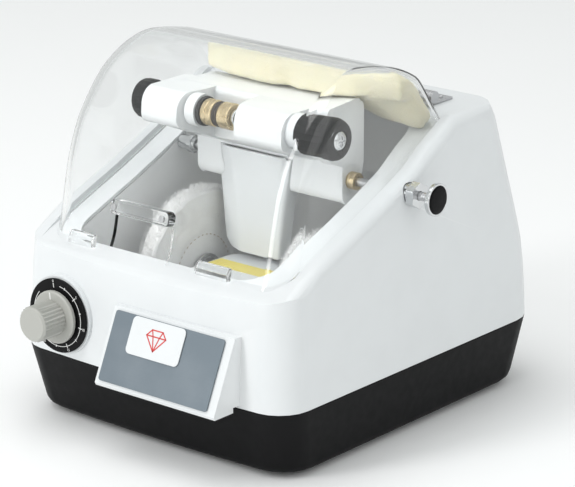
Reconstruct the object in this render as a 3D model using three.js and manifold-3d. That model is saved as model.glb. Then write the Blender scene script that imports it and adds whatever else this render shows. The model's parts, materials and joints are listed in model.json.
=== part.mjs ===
// Lens-edge polishing machine: black base tub, white cover, clear hinged hood, two buffs on a
// belt-driven spindle, and a swinging arm that clamps the work between two brass chucks.
// Millimetres, +Z up, front towards -Y. The origin is the middle of the base's underside.
import * as THREE from 'three';
import { mergeVertices } from 'three/addons/utils/BufferGeometryUtils.js';
import Module from 'manifold-3d';

const wasm = await Module();
wasm.setup();

// ---------------------------------------------------------------- driving dimensions
const GAP = 0.3; // clearance between touching pieces
const WALL = 2.5; // moulded cover wall
const TUB_WALL = 3; // base wall and floor
const HALF_WIDTH = 120; // at the parting line
const FRONT_Y = -139; // front wall at the corners
const FRONT_BOW = 4; // how far the front wall bulges at its middle
const REAR_Y = 143;
const FRONT_R = 22; // plan corners
const REAR_R = 28;
const PARTING_Z = 45; // base tub below, cover above
const DECK_Z = 207; // flat top behind the hood
const SHOULDER_R = 9; // rounding along the top of the side walls
const LIP = { height: 4.5, halfX: 104.6 }; // side walls stand this far above the ledge under the hood
const OPENING = { halfX: 84, front: -122, rear: 46, r: 20 }; // mouth of the work chamber
const TRAY = { halfX: 86.4, front: -124.4, rear: 82.4, floor: 12, wall: 2.4 };
const PIVOT = { y: -7, z: 165.5, r: 3 }; // arm shaft
const CLAMP = { y: -46.5, z: 205 }; // axis of the chucks at rest
const ARBOR = { y: -25, z: 80 }; // axis of the buffing wheels
const MOTOR = { y: -70, z: 45, r: 26, x0: -34, x1: 12 };
const BELT = { x0: 21, x1: 27, thick: 1.5, arborR: 9.8, motorR: 7.8 }; // inner radii of its two bends
const HINGE = { y: 60, z: 212, r: 4.5, pin: 1.8, half: 18, x: 68 }; // hood hinges
const HOOD = { half: 103, wall: 3, edgeR: 16, rearEdgeR: 6 };
const NOTCH = { x0: -45, x1: 6, top: 147 }; // finger notch in the front of the hood
const DIAL = { x: -75, z: 74.6, r: 26, faceY: -145.6 };
const PLATE = { x: 28.5, width: 95, height: 48, thick: 1 };
const BOSS = { x0: -22, x1: 82.5, topY: -144.6, topZ: 93.5, lowY: -166, lowZ: 43.5 };
const ARM = { left: -61, right: 65, headL: [-71, -33], headR: [6, 53], wall: 3 };
const LEG = { front: -20, side: -12, rear: -2, wall: 2 };
const MOTOR_COVER = { half: 38, front: -118, rear: -2, top: 96, wall: 2 };

// Height of the cover's rim and deck along the depth, front to rear.
const RIM = [
  [-152, 94], [-142, 106], [-140, 111.5], [-137.3, 115.7], [-133.6, 118.8], [-129, 120.6], [-115, 127],
  [-100, 133], [-80, 141], [-54, 151], [-28, 162], [-2, 174], [17, 187], [45, 203], [52, 205.8],
  [60, DECK_Z], [90, DECK_Z], [95, 205.6], [99, 202.6], [102, 199], [110, 188], [150, 120],
];
// Cover plan at each height: z, half width, front wall, rear wall.
const COVER_LEVELS = [
  [PARTING_Z + GAP / 2, 120, -139, 143], [65, 119.6, -138, 142], [85, 119.2, -136.9, 140],
  [103, 118.8, -135.8, 137], [118, 118.5, -134, 132.6], [146, 118, -133, 123], [172, 117.5, -132.5, 114.4],
  [196, 117, -132, 106], [DECK_Z + 1, 116.8, -131.6, 99],
];
// Outline of the hood's curved sheet in the side view, front bottom to rear bottom.
const HOOD_CURVE = [
  [-129.5, 108], [-127, 120], [-121, 134], [-116, 158], [-111, 178], [-103, 198], [-94, 212.5],
  [-79, 230], [-64, 240.8], [-48, 247.8], [-33, 250.6], [-16, 249], [2, 245.4], [11, 243],
  [18.5, 239], [24, 234.6], [32, 224.6], [48, 203], [53, 196.3],
];

// Leg of the arm at each height: z, left side, left front corner, right front corner, right side.
const LEG_LEVELS = [
  [101, -36, -19.5, 12, 15.5], [106, -40, -19.8, 12.5, 16.2], [118, -41.5, -20.3, 13.8, 17.6],
  [140, -43.5, -21.4, 16, 20], [158, -45.5, -26, 18.6, 21.5], [174, -46.5, -32, 19.5, 21.5],
];

const COLORS = {
  white: [0xf1f2f2, 0.35, 0], black: [0x141414, 0.5, 0], tray: [0xd9dad8, 0.5, 0],
  rubber: [0x1b1b1b, 0.85, 0], steel: [0xb9bcbf, 0.3, 1], chrome: [0xd8dadc, 0.12, 1],
  brass: [0xc49a45, 0.28, 1], clear: [0xdfe9ea, 0.06, 0], cotton: [0xf4f4f2, 0.95, 0],
  foam: [0xece5c0, 0.9, 0], grey: [0x9c9d98, 0.5, 0], plate: [0x5d646b, 0.45, 0.2],
  pad: [0x4b4845, 0.9, 0], board: [0x1f5b38, 0.6, 0], zinc: [0x8b8d8f, 0.35, 1],
};

// ---------------------------------------------------------------- helpers
const lerpTable = (table, t) => {
  if (t <= table[0][0]) return table[0][1];
  for (let i = 1; i < table.length; i += 1) {
    const [t0, v0] = table[i - 1];
    const [t1, v1] = table[i];
    if (t <= t1) return v0 + ((v1 - v0) * (t - t0)) / (t1 - t0);
  }
  return table[table.length - 1][1];
};

function toSolid(geometry) {
  const bare = geometry.clone();
  bare.deleteAttribute('normal');
  bare.deleteAttribute('uv');
  const merged = mergeVertices(bare, 1e-4);
  const index = merged.index.array;
  const triVerts = [];
  for (let i = 0; i < index.length; i += 3) {
    const [a, b, c] = [index[i], index[i + 1], index[i + 2]];
    if (a !== b && b !== c && c !== a) triVerts.push(a, b, c);
  }
  return new wasm.Manifold(new wasm.Mesh({
    numProp: 3,
    vertProperties: Float32Array.from(merged.attributes.position.array),
    triVerts: Uint32Array.from(triVerts),
  }));
}

function toGeometry(solid) {
  const { vertProperties, triVerts } = solid.getMesh();
  const geometry = new THREE.BufferGeometry();
  geometry.setAttribute('position', new THREE.BufferAttribute(Float32Array.from(vertProperties), 3));
  geometry.setIndex(new THREE.BufferAttribute(Uint32Array.from(triVerts), 1));
  return geometry;
}

const cut = (body, ...tools) => toGeometry(tools.reduce((s, t) => s.subtract(toSolid(t)), toSolid(body)));
const join = (...bodies) => toGeometry(bodies.map(toSolid).reduce((a, b) => a.add(b)));
const common = (a, b) => toGeometry(toSolid(a).intersect(toSolid(b)));

// A closed body through rings of equally many points, with flat ends.
function loft(rings) {
  const count = rings[0].length;
  const points = rings.flat();
  const index = [];
  for (let r = 0; r < rings.length - 1; r += 1) {
    for (let i = 0; i < count; i += 1) {
      const j = (i + 1) % count;
      const [a, b, c, d] = [r * count + i, r * count + j, (r + 1) * count + j, (r + 1) * count + i];
      index.push(a, b, c, a, c, d);
    }
  }
  for (const [ring, start, turn] of [[rings[0], 0, -1], [rings.at(-1), (rings.length - 1) * count, 1]]) {
    const middle = ring.reduce((s, p) => s.add(p), new THREE.Vector3()).divideScalar(count);
    points.push(middle);
    for (let i = 0; i < count; i += 1) {
      const [a, b] = [start + i, start + ((i + 1) % count)];
      index.push(...(turn > 0 ? [a, b, points.length - 1] : [b, a, points.length - 1]));
    }
  }
  const geometry = new THREE.BufferGeometry().setFromPoints(points);
  geometry.setIndex(index);
  return geometry;
}

function outline(points) {
  return new THREE.Shape(points.map(([u, v]) => new THREE.Vector2(u, v)));
}

function roundedRect(x0, y0, x1, y1, r) {
  const s = new THREE.Shape();
  s.moveTo(x0 + r, y0).lineTo(x1 - r, y0).absarc(x1 - r, y0 + r, r, -Math.PI / 2, 0, false);
  s.lineTo(x1, y1 - r).absarc(x1 - r, y1 - r, r, 0, Math.PI / 2, false);
  s.lineTo(x0 + r, y1).absarc(x0 + r, y1 - r, r, Math.PI / 2, Math.PI, false);
  s.lineTo(x0, y0 + r).absarc(x0 + r, y0 + r, r, Math.PI, 1.5 * Math.PI, false);
  return s;
}

// The same outline as points at height z, n + 1 of them round each corner.
function roundedRing(x0, y0, x1, y1, r, z, n) {
  const corners = [[x1 - r, y1 - r], [x0 + r, y1 - r], [x0 + r, y0 + r], [x1 - r, y0 + r]];
  return corners.flatMap(([cx, cy], corner) => Array.from({ length: n + 1 }, (_, i) => {
    const a = (corner + i / n) * (Math.PI / 2);
    return new THREE.Vector3(cx + r * Math.cos(a), cy + r * Math.sin(a), z);
  }));
}

// A polygon at height z with its corners softened over a length r, n + 1 points round each.
function softRing(corners, r, z, n = 3) {
  const points = corners.map(([x, y]) => new THREE.Vector2(x, y));
  return points.flatMap((p, i) => {
    const towards = (q) => p.clone().add(q.clone().sub(p).setLength(r));
    const bend = new THREE.QuadraticBezierCurve(
      towards(points.at(i - 1)), p, towards(points[(i + 1) % points.length]));
    return bend.getPoints(n).map((q) => new THREE.Vector3(q.x, q.y, z));
  });
}

// Prisms: the shape lies in the plane square to the named axis and runs from a to b along it.
const flat = (shape, length, curveSegments) =>
  new THREE.ExtrudeGeometry(shape, { depth: length, bevelEnabled: false, curveSegments });
const basis = (x, y, z, move) =>
  new THREE.Matrix4().makeBasis(x, y, z).setPosition(...move);
const [AX, AY, AZ] = [[1, 0, 0], [0, 1, 0], [0, 0, 1]].map((v) => new THREE.Vector3(...v));
const prismX = (shape, a, b, n = 6) => flat(shape, b - a, n).applyMatrix4(basis(AY, AZ, AX, [a, 0, 0]));
const prismY = (shape, a, b, n = 6) =>
  flat(shape, b - a, n).applyMatrix4(basis(AX, AZ, AY.clone().negate(), [0, b, 0]));
const prismZ = (shape, a, b, n = 6) => flat(shape, b - a, n).translate(0, 0, a);

// A turned piece about an axis parallel to X or Y: profile points are [radius, position along it].
function turnedX(profile, y, z, segments = 20) {
  const points = profile.map(([r, x]) => new THREE.Vector2(r, x));
  return new THREE.LatheGeometry(points, segments).rotateZ(-Math.PI / 2).translate(0, y, z);
}
function turnedY(profile, x, z, segments = 24) {
  const points = profile.map(([r, y]) => new THREE.Vector2(r, y));
  return new THREE.LatheGeometry(points, segments).translate(x, 0, z);
}
const rodX = (r, a, b, y, z, n = 16) => turnedX([[0, a], [r, a], [r, b], [0, b]], y, z, n);
const rodY = (r, a, b, x, z, n = 20) => turnedY([[0, a], [r, a], [r, b], [0, b]], x, z, n);
const tubeX = (r0, r1, a, b, y, z, n = 20) =>
  turnedX([[r0, a], [r1, a], [r1, b], [r0, b], [r0, a]], y, z, n);
const hexX = (r0, r1, a, b, y, z) => cut(rodX(r1, a, b, y, z, 6), rodX(r0, a - 1, b + 1, y, z, 16));
const block = (x0, x1, y0, y1, z0, z1) =>
  new THREE.BoxGeometry(x1 - x0, y1 - y0, z1 - z0).translate((x0 + x1) / 2, (y0 + y1) / 2, (z0 + z1) / 2);

const machine = new THREE.Group();
function add(parent, name, colour, geometry) {
  const [color, roughness, metalness] = COLORS[colour];
  const material = new THREE.MeshStandardMaterial({ color, roughness, metalness });
  if (colour === 'clear') Object.assign(material, { transparent: true, opacity: 0.35 });
  const mesh = new THREE.Mesh(geometry, material);
  mesh.name = name;
  parent.add(mesh);
  return mesh;
}

// ---------------------------------------------------------------- housing
// A ring of the machine's plan: rounded corners, bowed front, shrunk by inset.
function planRing(z, halfX, front, rear, inset, cornerPoints = 5) {
  const [r0, r1] = [FRONT_R - inset * 0.6, REAR_R - inset * 0.6];
  const [hx, y0, y1] = [halfX - inset, front + inset, rear - inset];
  const corners = [
    [hx - r1, y1 - r1, 0, r1], [r1 - hx, y1 - r1, 90, r1],
    [r0 - hx, y0 + r0, 180, r0], [hx - r0, y0 + r0, 270, r0],
  ];
  const ring = [];
  for (const [cx, cy, start, r] of corners) {
    for (let i = 0; i <= cornerPoints; i += 1) {
      const a = THREE.MathUtils.degToRad(start + (90 * i) / cornerPoints);
      ring.push(new THREE.Vector3(cx + r * Math.cos(a), cy + r * Math.sin(a), z));
    }
    if (start === 180) { // extra points along the bowed front wall
      for (const t of [-0.5, -0.25, 0, 0.25, 0.5]) ring.push(new THREE.Vector3(t * hx, y0, z));
    }
  }
  for (const p of ring) {
    const share = Math.max(0, p.y / y0); // 1 on the front wall, 0 behind the middle
    p.y -= FRONT_BOW * share ** 4 * (1 - (p.x / hx) ** 2);
  }
  return ring;
}

// Cross-section of the cover at one depth: side walls and a flat top with rounded shoulders.
function shoulderRing(y, top, inset) {
  const steps = 4;
  const r = SHOULDER_R - inset;
  const hx = lerpTable(COVER_LEVELS, top - SHOULDER_R) - inset;
  const ring = [];
  for (const side of [1, -1]) {
    for (let i = 0; i <= steps; i += 1) {
      const a = ((side > 0 ? i : steps - i) / steps) * (Math.PI / 2);
      ring.push(new THREE.Vector3(side * (hx - r + r * Math.cos(a)), y, top - inset - r + r * Math.sin(a)));
    }
  }
  for (const side of [-1, 1]) {
    ring.push(new THREE.Vector3(side * (HALF_WIDTH + 1 - inset), y, PARTING_Z - 8));
  }
  return ring.reverse();
}

function coverSkin(inset, lip) {
  const drop = inset ? 5 : 0; // an inner skin runs out through the open underside
  const rise = (y) => lip * THREE.MathUtils.smoothstep(y, -128, -96);
  const crest = ([y, z]) => Math.min(z + rise(y), Math.max(z, DECK_Z));
  const plan = loft(COVER_LEVELS.map(([z, hx, front, rear], i) =>
    planRing(i ? z : z - drop, hx, front, rear, inset)));
  return common(plan, loft(RIM.map((point) => shoulderRing(point[0], crest(point), inset))));
}

// Housing of the nameplate: a wedge whose face leans out towards the bottom.
function bossWedge(inset) {
  const backY = -130 + inset;
  const lip = BOSS.lowZ + inset;
  const side = outline([
    [backY, BOSS.topZ - inset], [BOSS.topY + inset, BOSS.topZ - inset], [BOSS.lowY + inset, lip + 2],
    [BOSS.lowY + inset + 1, lip], [-147, lip],
    [-147, PARTING_Z + 2 + inset / 2], [backY, PARTING_Z + 2 + inset / 2],
  ]);
  return prismX(side, BOSS.x0 + inset, BOSS.x1 - inset);
}

function housingCover() {
  const dialBoss = rodY(DIAL.r + 1.5, -143.2, -134, DIAL.x, DIAL.z, 48);
  const ledge = RIM.filter(([y]) => y > -132 && y <= 60);
  const recess = prismX(outline([[60, 240], [-131, 240], ...ledge]), -LIP.halfX, LIP.halfX);
  return cut(
    join(coverSkin(0, LIP.height), bossWedge(0), dialBoss),
    recess,
    coverSkin(WALL, 0),
    bossWedge(WALL),
    prismZ(roundedRect(-OPENING.halfX, OPENING.front, OPENING.halfX, OPENING.rear, OPENING.r), 100, 260),
    rodX(7.5, 100, 130, PIVOT.y, PIVOT.z, 24),
    rodY(4.5, -150, -130, DIAL.x, DIAL.z),
    block(-62 - GAP, -34 + GAP, 120, 150, 54 - GAP, 82 + GAP),
  );
}

function baseTub() {
  const [sideTaper, frontTaper, rearTaper, edge, roll] = [5.3, 10.5, 10, 5, 3];
  const ring = (z, inset, lift) => {
    const t = 1 - z / PARTING_Z;
    const pull = z < edge ? roll * (1 - Math.sqrt(1 - ((edge - z) / edge) ** 2)) : 0;
    return planRing(z + lift, HALF_WIDTH - sideTaper * t - pull, FRONT_Y + frontTaper * t + pull,
      REAR_Y - rearTaper * t - pull, inset);
  };
  const heights = [0, 0.4, 1.4, 3, edge, 25, PARTING_Z - GAP / 2];
  const outer = loft(heights.map((z) => ring(z, 0, 0)));
  const inner = loft(heights.map((z, i) => ring(z, TUB_WALL, i < 6 ? TUB_WALL : TUB_WALL + 2)));
  const posts = [];
  for (const x of [-24, 84]) {
    const shift = x < 0 ? 3 : -3;
    const slot = block(x - 4 + shift, x + 4 + shift, BOARD.y0 - GAP, BOARD.y1 + GAP, TUB_WALL, 50);
    posts.push(cut(block(x - 4, x + 4, 92, 102, 1, 45), slot));
  }
  return join(cut(outer, inner), ...posts);
}

const BOARD = { x0: -22.5, x1: 82.5, y0: 96, y1: 97.6, z0: TUB_WALL + GAP, z1: 88 };
const fixed = new THREE.Group();
machine.add(fixed);
add(fixed, 'base_tub', 'black', baseTub());
add(fixed, 'housing_cover', 'white', housingCover());

// Rubber feet stand 4 mm below the base.
const footProfile = [[0, -4], [9, -4], [10, -3], [11, -GAP], [0, -GAP]];
for (const [name, x, y] of [['front_left', -84, -92], ['front_right', 84, -92],
  ['rear_left', -84, 100], ['rear_right', 84, 100]]) {
  const points = footProfile.map(([r, z]) => new THREE.Vector2(r, z));
  const turned = new THREE.LatheGeometry(points, 20).rotateX(Math.PI / 2);
  const foot = add(fixed, `foot_${name}`, 'rubber', turned);
  foot.position.set(x, y, 0);
}

// ---------------------------------------------------------------- chamber
// Open-topped tray below the mouth of the cover; the tops of its walls follow the rim.
function chamberTray() {
  const { halfX, front, rear, floor, wall } = TRAY;
  const outer = prismZ(roundedRect(-halfX, front, halfX, rear, 22), floor, 230);
  const inner = prismZ(
    roundedRect(-halfX + wall, front + wall, halfX - wall, rear - wall, 22 - wall), floor + wall, 240);
  const under = RIM.slice(3, 17).map(([y, z]) => [y, z - WALL - 2 * GAP]);
  const above = prismX(outline([...under, [160, 260], [-160, 260]]), -120, 120);
  return cut(outer, inner, above, rodX(PIVOT.r + 1, -100, 100, PIVOT.y, PIVOT.z));
}
add(fixed, 'chamber_tray', 'tray', chamberTray());

// Rounded hump over the motor and the arbor, open underneath.
function motorCoverSkin(inset) {
  const { half, front, rear, top } = MOTOR_COVER;
  const bottom = TRAY.floor + TRAY.wall + GAP;
  const ring = (z, shrink) => roundedRing(
    -half + shrink, front + shrink, half - shrink, rear - shrink, 14 - shrink * 0.5, z, 5);
  const rings = [ring(bottom - inset, inset), ring(top - 10, inset)];
  for (const a of [30, 60, 90].map(THREE.MathUtils.degToRad)) {
    rings.push(ring(top - 10 + (10 - inset) * Math.sin(a), inset + (10 - inset) * (1 - Math.cos(a))));
  }
  return loft(rings);
}
add(fixed, 'motor_cover', 'white', cut(motorCoverSkin(0), motorCoverSkin(MOTOR_COVER.wall),
  rodX(6.5, -60, 60, ARBOR.y, ARBOR.z)));

// Bracket with a cradle for the motor and two uprights for the arbor's bearings.
function motorSaddle() {
  const bottom = TRAY.floor + TRAY.wall + GAP;
  const plate = block(-33, 33, -104, -11, bottom, bottom + 3);
  const cradle = block(-28, 6, MOTOR.y - 22, MOTOR.y + 22, bottom, 33);
  const uprights = [-33, 29].map((x) => block(x, x + 4, ARBOR.y - 13, ARBOR.y + 12, bottom, 90.2));
  return cut(join(plate, cradle, ...uprights), rodX(MOTOR.r + GAP, -60, 60, MOTOR.y, MOTOR.z, 40),
    rodX(9.5 + GAP, -60, 60, ARBOR.y, ARBOR.z, 28));
}
add(fixed, 'motor_saddle', 'steel', motorSaddle());
add(fixed, 'motor_body', 'zinc', cut(
  turnedX([[0, MOTOR.x0], [22, MOTOR.x0], [MOTOR.r, MOTOR.x0 + 4], [MOTOR.r, MOTOR.x1 - 4], [22, MOTOR.x1],
    [9, MOTOR.x1], [9, MOTOR.x1 + 2.5], [0, MOTOR.x1 + 2.5]], MOTOR.y, MOTOR.z, 32),
  rodX(3 + GAP, -10, 30, MOTOR.y, MOTOR.z, 16)));
for (const [name, x] of [['left', -33.5], ['right', 28.5]]) {
  add(fixed, `bearing_${name}`, 'chrome', tubeX(5 + GAP, 9.5, x, x + 5, ARBOR.y, ARBOR.z, 28));
}

// Loop round two pulleys: arcs joined by the outer tangents.
function beltLoop(arborR, motorR) {
  const [dy, dz] = [ARBOR.y - MOTOR.y, ARBOR.z - MOTOR.z];
  const along = Math.atan2(dz, dy);
  const half = Math.acos((motorR - arborR) / Math.hypot(dy, dz));
  const loop = new THREE.Shape();
  loop.absarc(ARBOR.y, ARBOR.z, arborR, along - half, along + half, false);
  loop.absarc(MOTOR.y, MOTOR.z, motorR, along + half, along - half + 2 * Math.PI, false);
  return loop;
}
add(fixed, 'drive_belt', 'rubber', cut(
  prismX(beltLoop(BELT.arborR + BELT.thick, BELT.motorR + BELT.thick), BELT.x0, BELT.x1, 12),
  prismX(beltLoop(BELT.arborR, BELT.motorR), BELT.x0 - 1, BELT.x1 + 1, 12)));
const pulley = (beltR, bore, x0, x1) => turnedX(
  [[bore, x0], [beltR + 1.2, x0], [beltR + 1.2, x0 + 0.7], [beltR - GAP, x0 + 0.7], [beltR - GAP, x1 - 0.7],
    [beltR + 1.2, x1 - 0.7], [beltR + 1.2, x1], [bore, x1], [bore, x0]], 0, 0, 20);

const motorRotor = new THREE.Group();
motorRotor.position.set(0, MOTOR.y, MOTOR.z);
machine.add(motorRotor);
add(motorRotor, 'motor_shaft', 'steel', rodX(3, -9, 30, 0, 0, 16));
add(motorRotor, 'motor_pulley', 'zinc', pulley(BELT.motorR, 3 + GAP, 20, 28));

// ---------------------------------------------------------------- buffing wheels
const arbor = new THREE.Group();
arbor.position.set(0, ARBOR.y, ARBOR.z);
machine.add(arbor);
const halfArbor = [[15, 46.9], [15, 44.8], [7, 44], [7, 39], [5, 39]];
add(arbor, 'wheel_spindle', 'steel', turnedX([
  [0, -72], [5, -72], [5, -46.9], ...halfArbor.map(([r, x]) => [r, -x]),
  ...halfArbor.reverse(), [5, 46.9], [5, 72], [0, 72],
], 0, 0, 20));
add(arbor, 'spindle_pulley', 'zinc', pulley(BELT.arborR, 5 + GAP, 20, 28));
for (const [name, side, radius] of [['left', -1, 60.5], ['right', 1, 50]]) {
  const place = (geometry) => (side < 0 ? geometry.rotateZ(Math.PI) : geometry);
  const [inner, outer] = [47.5, 61];
  add(arbor, `wheel_${name}`, 'cotton', place(turnedX([
    [5 + GAP, inner], [radius * 0.74, inner], [radius - 3, inner + 0.6], [radius - 0.6, inner + 4],
    [radius, (inner + outer) / 2], [radius - 0.6, outer - 4], [radius - 3, outer - 0.6],
    [radius * 0.74, outer], [5 + GAP, outer], [5 + GAP, inner]], 0, 0, 36)));
  const washer = tubeX(5 + GAP, 15, outer + GAP, outer + 2.2, 0, 0, 28);
  const nut = hexX(5 + GAP, 9, outer + 2, outer + 7.5, 0, 0);
  add(arbor, `wheel_nut_${name}`, 'steel', place(join(washer, nut)));
}

// ---------------------------------------------------------------- front panel
const plateTilt = Math.atan2(BOSS.topY - BOSS.lowY, BOSS.topZ - BOSS.lowZ - 2);
const front = new THREE.Group();
front.position.set(PLATE.x, (BOSS.topY + BOSS.lowY) / 2, (BOSS.topZ + BOSS.lowZ) / 2 + 1);
front.rotation.x = -plateTilt;
fixed.add(front);
const facePlate = (w, h, r, y0, y1) => prismY(roundedRect(-w / 2, -h / 2, w / 2, h / 2, r), y0, y1, 4);
add(front, 'nameplate', 'plate', facePlate(PLATE.width, PLATE.height, 2, -GAP - PLATE.thick, -GAP));
add(front, 'nameplate_badge', 'white', facePlate(46, 25.5, 3.5, -2.4, -GAP * 2 - PLATE.thick)
  .translate(-7.5, 0, 10.9));

add(fixed, 'timer_dial', 'black', cut(
  rodY(DIAL.r, DIAL.faceY, -143.2 - GAP, DIAL.x, DIAL.z, 48), rodY(4.5, -150, -130, DIAL.x, DIAL.z)));
add(fixed, 'timer_control', 'steel', join(
  rodY(11.5, -135.6, -125, DIAL.x, DIAL.z), rodY(3.8, -143, -135, DIAL.x, DIAL.z, 20),
  rodY(3, -158, -142, DIAL.x, DIAL.z, 20)));

function timerKnob() {
  const skirt = turnedY([
    [0, -150.2], [17.5, -150.2], [18.5, -149.4], [18.5, -147.4], [17.5, -146.2], [0, -146.2],
  ], 0, 0, 28);
  const fluted = new THREE.Shape();
  const flutes = 28;
  for (let i = 0; i < flutes * 2; i += 1) {
    const a = (i / (flutes * 2)) * 2 * Math.PI;
    const r = i % 2 ? 12.5 : 11.4;
    fluted[i ? 'lineTo' : 'moveTo'](r * Math.cos(a), r * Math.sin(a));
  }
  const cap = turnedY([[0, -170.5], [10.8, -170.5], [12, -169.2], [12, -168], [0, -168]], 0, 0, 32);
  return cut(join(skirt, prismY(fluted, -169, -149), cap), rodY(3 + GAP, -158.5, -140, 0, 0, 20));
}
const timer = new THREE.Group();
timer.position.set(DIAL.x, 0, DIAL.z);
machine.add(timer);
add(timer, 'timer_knob', 'grey', timerKnob());

// ---------------------------------------------------------------- rear and inside
const rearWall = (z) => lerpTable(COVER_LEVELS.map(([h, , , rear]) => [h, rear]), z);
add(fixed, 'power_inlet', 'black', cut(
  join(block(-66, -30, rearWall(54) + 0.6, rearWall(54) + 3, 50, 86), block(-62, -34, 118, 144, 54, 82)),
  block(-58, -38, 126, 150, 58, 78)));
add(fixed, 'control_board', 'board',
  block(BOARD.x0, BOARD.x1, BOARD.y0, BOARD.y1, BOARD.z0, BOARD.z1));

// ---------------------------------------------------------------- arm shaft
const carriage = new THREE.Group();
carriage.position.set(0, PIVOT.y, PIVOT.z);
machine.add(carriage);
add(carriage, 'pivot_shaft', 'steel', rodX(PIVOT.r, -82, 133.7, 0, 0, 20));
add(carriage, 'side_knob', 'chrome', cut(
  turnedX([[0, 134], [5, 134], [5.6, 135.6], [9.6, 136], [11.2, 137], [11.2, 140], [0, 140]], 0, 0, 28),
  rodX(9.6, 138.6, 145, 0, 0, 24)));
add(carriage, 'side_knob_cap', 'black', turnedX(
  [[0, 138.9], [9.3, 138.9], [9.3, 140.2], [8, 141], [0, 141.3]], 0, 0, 24));
add(fixed, 'shaft_bush_right', 'chrome', join(
  tubeX(PIVOT.r + GAP, 7, 108, 119.5, PIVOT.y, PIVOT.z),
  hexX(PIVOT.r + GAP, 9, 119, 125, PIVOT.y, PIVOT.z)));
add(fixed, 'shaft_bush_left', 'chrome', join(
  tubeX(PIVOT.r + GAP, 5, -83.7, -69, PIVOT.y, PIVOT.z),
  tubeX(PIVOT.r + GAP, 6.5, -75, -71, PIVOT.y, PIVOT.z)));

// ---------------------------------------------------------------- swinging arm
const headOutline = () => { // side view of the two clamp heads
  const s = new THREE.Shape();
  s.moveTo(-16, 218).lineTo(-52, 217.5).quadraticCurveTo(-60, 215.5, -62, 207);
  s.lineTo(-62.5, 199).quadraticCurveTo(-62, 193, -55, 192).lineTo(-20, 178).lineTo(-16, 178);
  return s;
};
const bodyOutline = (inset) => { // side view of the bridge and of the box round the shaft
  const s = new THREE.Shape();
  const lip = -30 + inset * 0.3;
  s.moveTo(3 - inset, 157).lineTo(7 - inset, 176).lineTo(7 - inset, 213);
  s.quadraticCurveTo(7 - inset, 218 - inset, 2, 218 - inset).lineTo(-27, 218 - inset);
  s.quadraticCurveTo(lip, 217 - inset, lip, 213).lineTo(lip, 183 + inset);
  s.lineTo(-16 + inset, 176 + inset).lineTo(-16 + inset, 157);
  s.absarc(-6.5, 157, 9.5 - inset, Math.PI, 2 * Math.PI, false);
  return s;
};

// Tapered leg: the housing of the gearmotor, open at the top inside the arm.
function legSkin(inset, raise = 0) {
  const { front, side, rear } = LEG;
  return loft(LEG_LEVELS.map(([z, left, frontLeft, frontRight, right], level) => {
    const lift = level === 0 ? inset : (level === LEG_LEVELS.length - 1) * raise;
    const corners = [
      [left + inset, side + inset * 0.4], [frontLeft + inset * 0.4, front + inset],
      [frontRight - inset, front + inset], [right - inset, rear - inset], [left + 4 + inset, rear - inset],
    ];
    return softRing(corners, 4 - inset * 0.5, z + lift);
  }));
}

function armBody() {
  const { left, right, headL, headR, wall } = ARM;
  const bridge = prismX(bodyOutline(0), left, right, 5);
  const hollow = prismX(bodyOutline(wall), left + wall, right - wall, 5);
  const heads = [prismX(headOutline(), ...headL, 5), prismX(headOutline(), ...headR, 5)];
  const scoops = [[headL[1], 1], [headR[0], -1]].map(([x, side]) => { // curved inner faces of the heads
    const s = new THREE.Shape();
    s.moveTo(x, -66).lineTo(x - side * 7, -66).quadraticCurveTo(x - side * 1, -44, x, -34);
    return prismZ(s, 180, 230, 6);
  });
  const bosses = [
    rodX(11.5, headL[1] - 3, -27.9, CLAMP.y, CLAMP.z, 28),
    rodX(12.5, headR[1] - 3, 60, CLAMP.y, CLAMP.z, 28),
  ];
  return cut(join(cut(join(bridge, ...heads), ...scoops), ...bosses), hollow,
    block(left + wall, right - wall, -13, 0, 120, 152), // open underside
    legSkin(-GAP, GAP),
    rodX(PIVOT.r + GAP, -80, 80, PIVOT.y, PIVOT.z),
    rodX(4.5 + GAP, -80, -20, CLAMP.y, CLAMP.z),
    rodX(8.5, 0, 61, CLAMP.y, CLAMP.z, 24));
}
const arm = new THREE.Group();
machine.add(arm);
add(arm, 'arm_body', 'white', armBody());
add(arm, 'arm_leg', 'white', cut(legSkin(0), legSkin(LEG.wall, 1),
  rodX(PIVOT.r + 1, -80, 80, PIVOT.y, PIVOT.z)));
add(arm, 'gearmotor', 'zinc', join(
  new THREE.CylinderGeometry(6, 6, 34, 24).rotateX(Math.PI / 2).translate(-6, -11, 125),
  block(-18, 6, -17.5, -4.5, 141, 156)));
add(arm, 'pivot_nut', 'brass', tubeX(PIVOT.r + GAP, 6, ARM.right + GAP, 71.5, PIVOT.y, PIVOT.z, 24));
add(arm, 'clamp_sleeve', 'steel', turnedX(
  [[6.8, 8], [8, 8], [8, 59.6], [4.8, 59.6], [4.8, 57], [6.8, 57], [6.8, 8]], CLAMP.y, CLAMP.z, 28));

// Spring that pushes the right chuck towards the left one.
function clampSpring() {
  class Helix extends THREE.Curve {
    getPoint(t, target = new THREE.Vector3()) {
      const a = t * 6 * 2 * Math.PI;
      return target.set(24 + t * 32, 5.65 * Math.cos(a), 5.65 * Math.sin(a));
    }
  }
  const wire = new THREE.Shape();
  wire.absarc(0, 0, 0.6, 0, 2 * Math.PI, false);
  return new THREE.ExtrudeGeometry(wire, { steps: 60, curveSegments: 2, extrudePath: new Helix() })
    .translate(0, CLAMP.y, CLAMP.z);
}
add(arm, 'clamp_spring', 'steel', clampSpring());

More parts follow.
